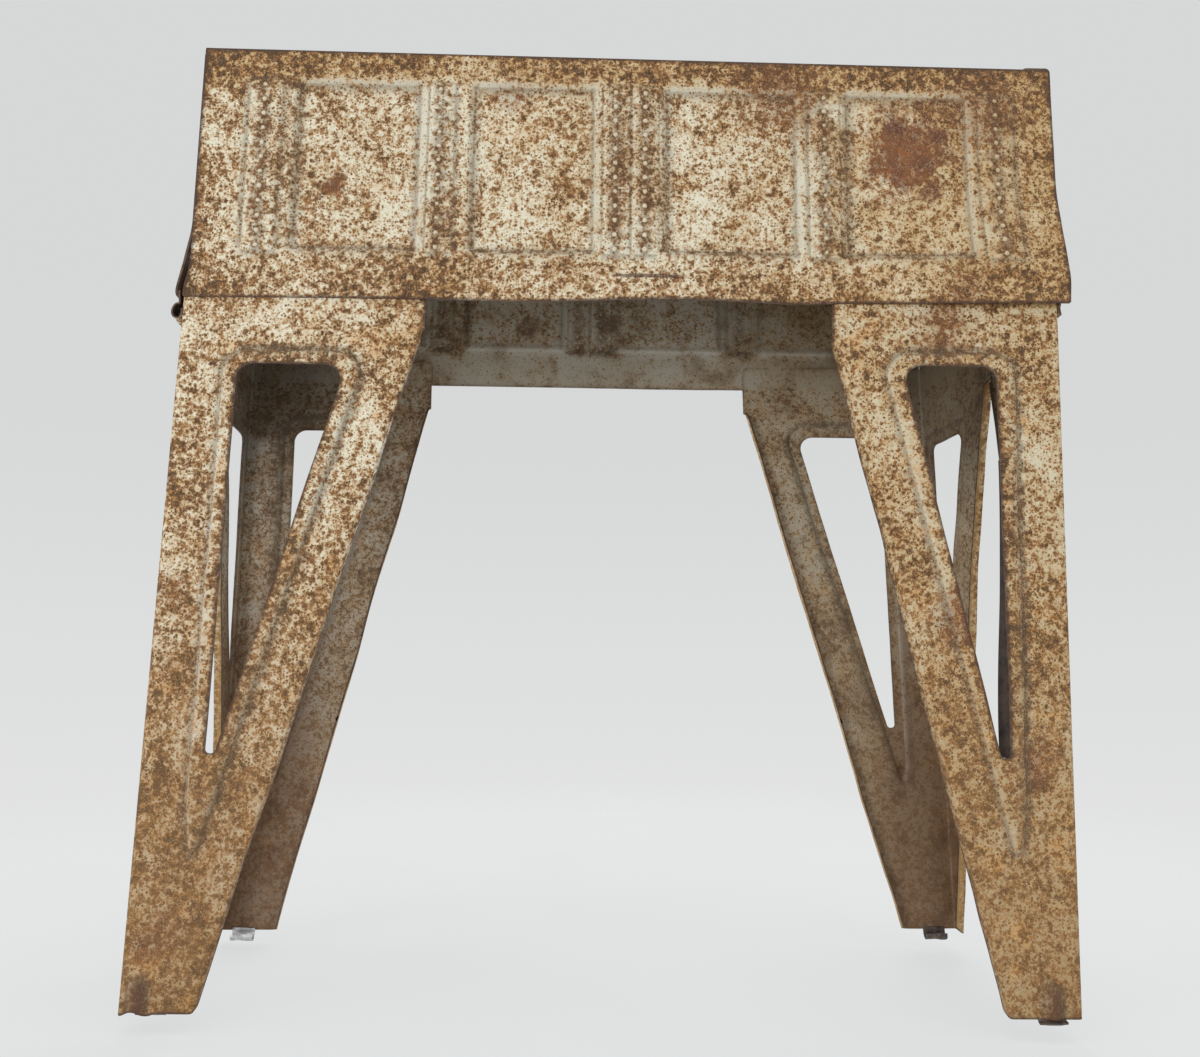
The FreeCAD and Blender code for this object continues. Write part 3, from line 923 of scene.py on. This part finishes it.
def build_brackets():
    """Remains of the wheel brackets: a short leaf inside each foot and a tongue bent under its edge."""
    face = HALF_DEEP - 1.0
    for end, along in (("front", -1), ("rear", 1)):
        for side in (-1, 1):
            name = f"wheel_bracket_{end}_{'left' if side < 0 else 'right'}"
            low, high = size_of(name)
            if (end, side) == ("front", -1):
                path = [(-face, 3), (-face, 0.7), (-face + 2.5, 0.4)]
            elif end == "front":
                path = [(-face, 3), (-face, 0.4), (-face - 1.5, 0.1)]
            else:
                drop = -0.9
                path = [(face, 1.4), (face, drop + 0.6), (face - 1.2, drop - 0.9)]
                path += [(face - 2.8, drop), (face - 2.6, drop + 1.2)]
            metal = BRIGHT if (end, side) == ("rear", -1) else TARNISHED
            ribbon(f"{name}_strip", name, path, low[0], high[0], "X", [metal] * 3, 0.35)


def build_window_lip():
    """Lip bent back along the outer edge of the front right window, deeper towards its foot, coloured
    near-black as painted shade.
    """
    heights, shares = np.linspace(EDGE - 96.4, EDGE - 34, 40), np.linspace(0, 1, 5)
    points = []
    for up in heights:
        edge = HALF_WIDE - 13.0 - 1.2 * (up - EDGE + 96.4) / 82.8
        turned = 0.1 + 1.1 * smooth(EDGE - 60, EDGE - 94, up)
        deep = 0.3 + 2.5 * smooth(EDGE - 35, EDGE - 80, up)
        points += [(edge - turned * share, -HALF_DEEP + 0.6 + share * deep, up) for share in shares]
    points, faces = np.array(points), strip_faces(len(heights), len(shares))[:, ::-1]
    # the lip's near-black material is painted shade
    piece = solid("front_right_window_lip", lean(points), faces, {}, [PAINTED_SHADE_EDGE] * 3)
    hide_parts("leg_front_right")
    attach(piece, "root")


def build_corner_tabs():
    """Curled tab below the left end plate, and the short one on the right."""
    out = HALF_WIDE + 0.5
    eye, tube = (-out - 0.5, EDGE - 3.6), 1.45
    turns = [math.radians(75 + 300 * share) for share in np.linspace(0, 1, 12)]
    curl = [(-out - 0.5, EDGE + 1)] + [
        (eye[0] + tube * 0.85 * math.cos(turn), eye[1] + tube * 1.25 * math.sin(turn)) for turn in turns
    ]
    # the curl's inner skin is near-black painted shade
    ribbon("left_end_plate_curl", "left_end_plate", curl, -HALF_DEEP + 0.6, -HALF_DEEP + 7.5, "Y",
           [OUTER, PAINTED_SHADE_EDGE, RIM], 0.35)
    stub = [(out - 0.5, EDGE + 1), (out - 0.4, EDGE - 0.2), (out - 0.3, EDGE - 1.4)]
    ribbon("right_end_plate_stub", "right_end_plate", stub, -HALF_DEEP + 0.6, -HALF_DEEP + 4.4, "Y",
           [OUTER, INNER, RIM])


build_cap()
for side in (-1, 1):
    build_end_plate(side)
    for end in ("front", "rear"):
        build_leg(end, side)
build_brackets()
build_window_lip()
build_corner_tabs()

# Stage, light and camera ----------------------------------------------------------------------

scene = bpy.context.scene
FLOOR, REACH = -3.2 * MM, 0.9
FLOOR_TINTS = ((120, 121, 121), (123, 124, 124))
FLOOR_GLOWS = ((200, 202, 202), (203, 205, 205))
SKY_LOW, SKY_HIGH = (228, 229, 228), (214, 216, 216)

disc = bmesh.new()
bmesh.ops.create_circle(disc, cap_ends=True, segments=96, radius=REACH)
floor_mesh = bpy.data.meshes.new("floor")
disc.to_mesh(floor_mesh)
floor_mesh.transform(Matrix.Translation((0, 0, FLOOR)))
floor = bpy.data.objects.new("floor", floor_mesh)
scene.collection.objects.link(floor)
table = Graph("table")
table.put(table.shader.inputs["Base Color"], table.mix(table.noise(60, 2), *FLOOR_TINTS))
table.put(table.shader.inputs["Emission Color"], table.mix(table.noise(60, 2), *FLOOR_GLOWS))
table.shader.inputs["Emission Strength"].default_value = 1.0
table.shader.inputs["Roughness"].default_value = 0.9
table.shader.inputs["Specular IOR Level"].default_value = 0.1
squares = [(1.0, table.math("MULTIPLY", table.axis(name), table.axis(name))) for name in "XY"]
radial = table.math("SQRT", table.total(*squares))
table.put(table.shader.inputs["Alpha"], table.step(radial, REACH / MM * 0.5, REACH / MM * 0.12))
floor_mesh.materials.append(table.material)

world = bpy.data.worlds.new("studio")
scene.world = world
world.use_nodes = True
sky, back = world.node_tree, world.node_tree.nodes["Background"]
height = sky.nodes.new("ShaderNodeSeparateXYZ")
sky.links.new(sky.nodes.new("ShaderNodeTexCoord").outputs["Generated"], height.inputs[0])
fade = sky.nodes.new("ShaderNodeMapRange")
fade.interpolation_type = "SMOOTHSTEP"
fade.inputs["From Min"].default_value, fade.inputs["From Max"].default_value = -0.3, 0.35
sky.links.new(height.outputs["Z"], fade.inputs["Value"])
blend = sky.nodes.new("ShaderNodeMix")
blend.data_type = "RGBA"
sky.links.new(fade.outputs["Result"], blend.inputs[0])
for socket, colour in ((blend.inputs[6], SKY_LOW), (blend.inputs[7], SKY_HIGH)):
    socket.default_value = (*linear(colour), 1)
sky.links.new(blend.outputs[2], back.inputs["Color"])
back.inputs["Strength"].default_value = 1.0


def lamp(name, place, target, size, watts):
    """A square area lamp aimed at a target."""
    data = bpy.data.lights.new(name, "AREA")
    data.size, data.energy = size, watts
    made = bpy.data.objects.new(name, data)
    made.location = place
    made.rotation_euler = (Vector(target) - Vector(place)).to_track_quat("-Z", "Y").to_euler()
    scene.collection.objects.link(made)


lamp("key", (-0.75, -0.7, 0.1), (0, 0, 0.12), 0.35, 3.2)
lamp("fill", (0.1, -0.9, 0.03), (0, 0, 0.12), 0.4, 1.2)
lamp("top", (0.0, -0.3, 1.3), (0, -0.1, 0), 1.2, 2.6)
lamp("back", (0.2, 0.9, 0.5), (0, 0, 0.12), 0.8, 3.0)

camera = bpy.data.objects.new("camera", bpy.data.cameras.new("camera"))
camera.data.sensor_width, camera.data.lens = 36, 29.25
CAMERA_AT = (-3.56, -235.58, 68.41)
PITCH, ROLL, YAW = -0.14315, 0.01256, 0.01186


def aim(pitch, roll, yaw):
    """Camera axes from turns about its own right, forward and up directions."""
    cz, sz, cx, sx = math.cos(yaw), math.sin(yaw), math.cos(pitch), math.sin(pitch)
    cy, sy = math.cos(roll), math.sin(roll)
    spin = Matrix(((cz, -sz, 0), (sz, cz, 0), (0, 0, 1)))
    tilt = Matrix(((1, 0, 0), (0, cx, -sx), (0, sx, cx)))
    tip = Matrix(((cy, 0, sy), (0, 1, 0), (-sy, 0, cy)))
    right, forward, up = tip @ tilt @ spin
    return Matrix((right, up, -forward)).transposed()


camera.matrix_world = Matrix.Translation(Vector(CAMERA_AT) * MM) @ aim(PITCH, ROLL, YAW).to_4x4()
scene.collection.objects.link(camera)
scene.camera = camera
scene.view_settings.view_transform = "Standard"
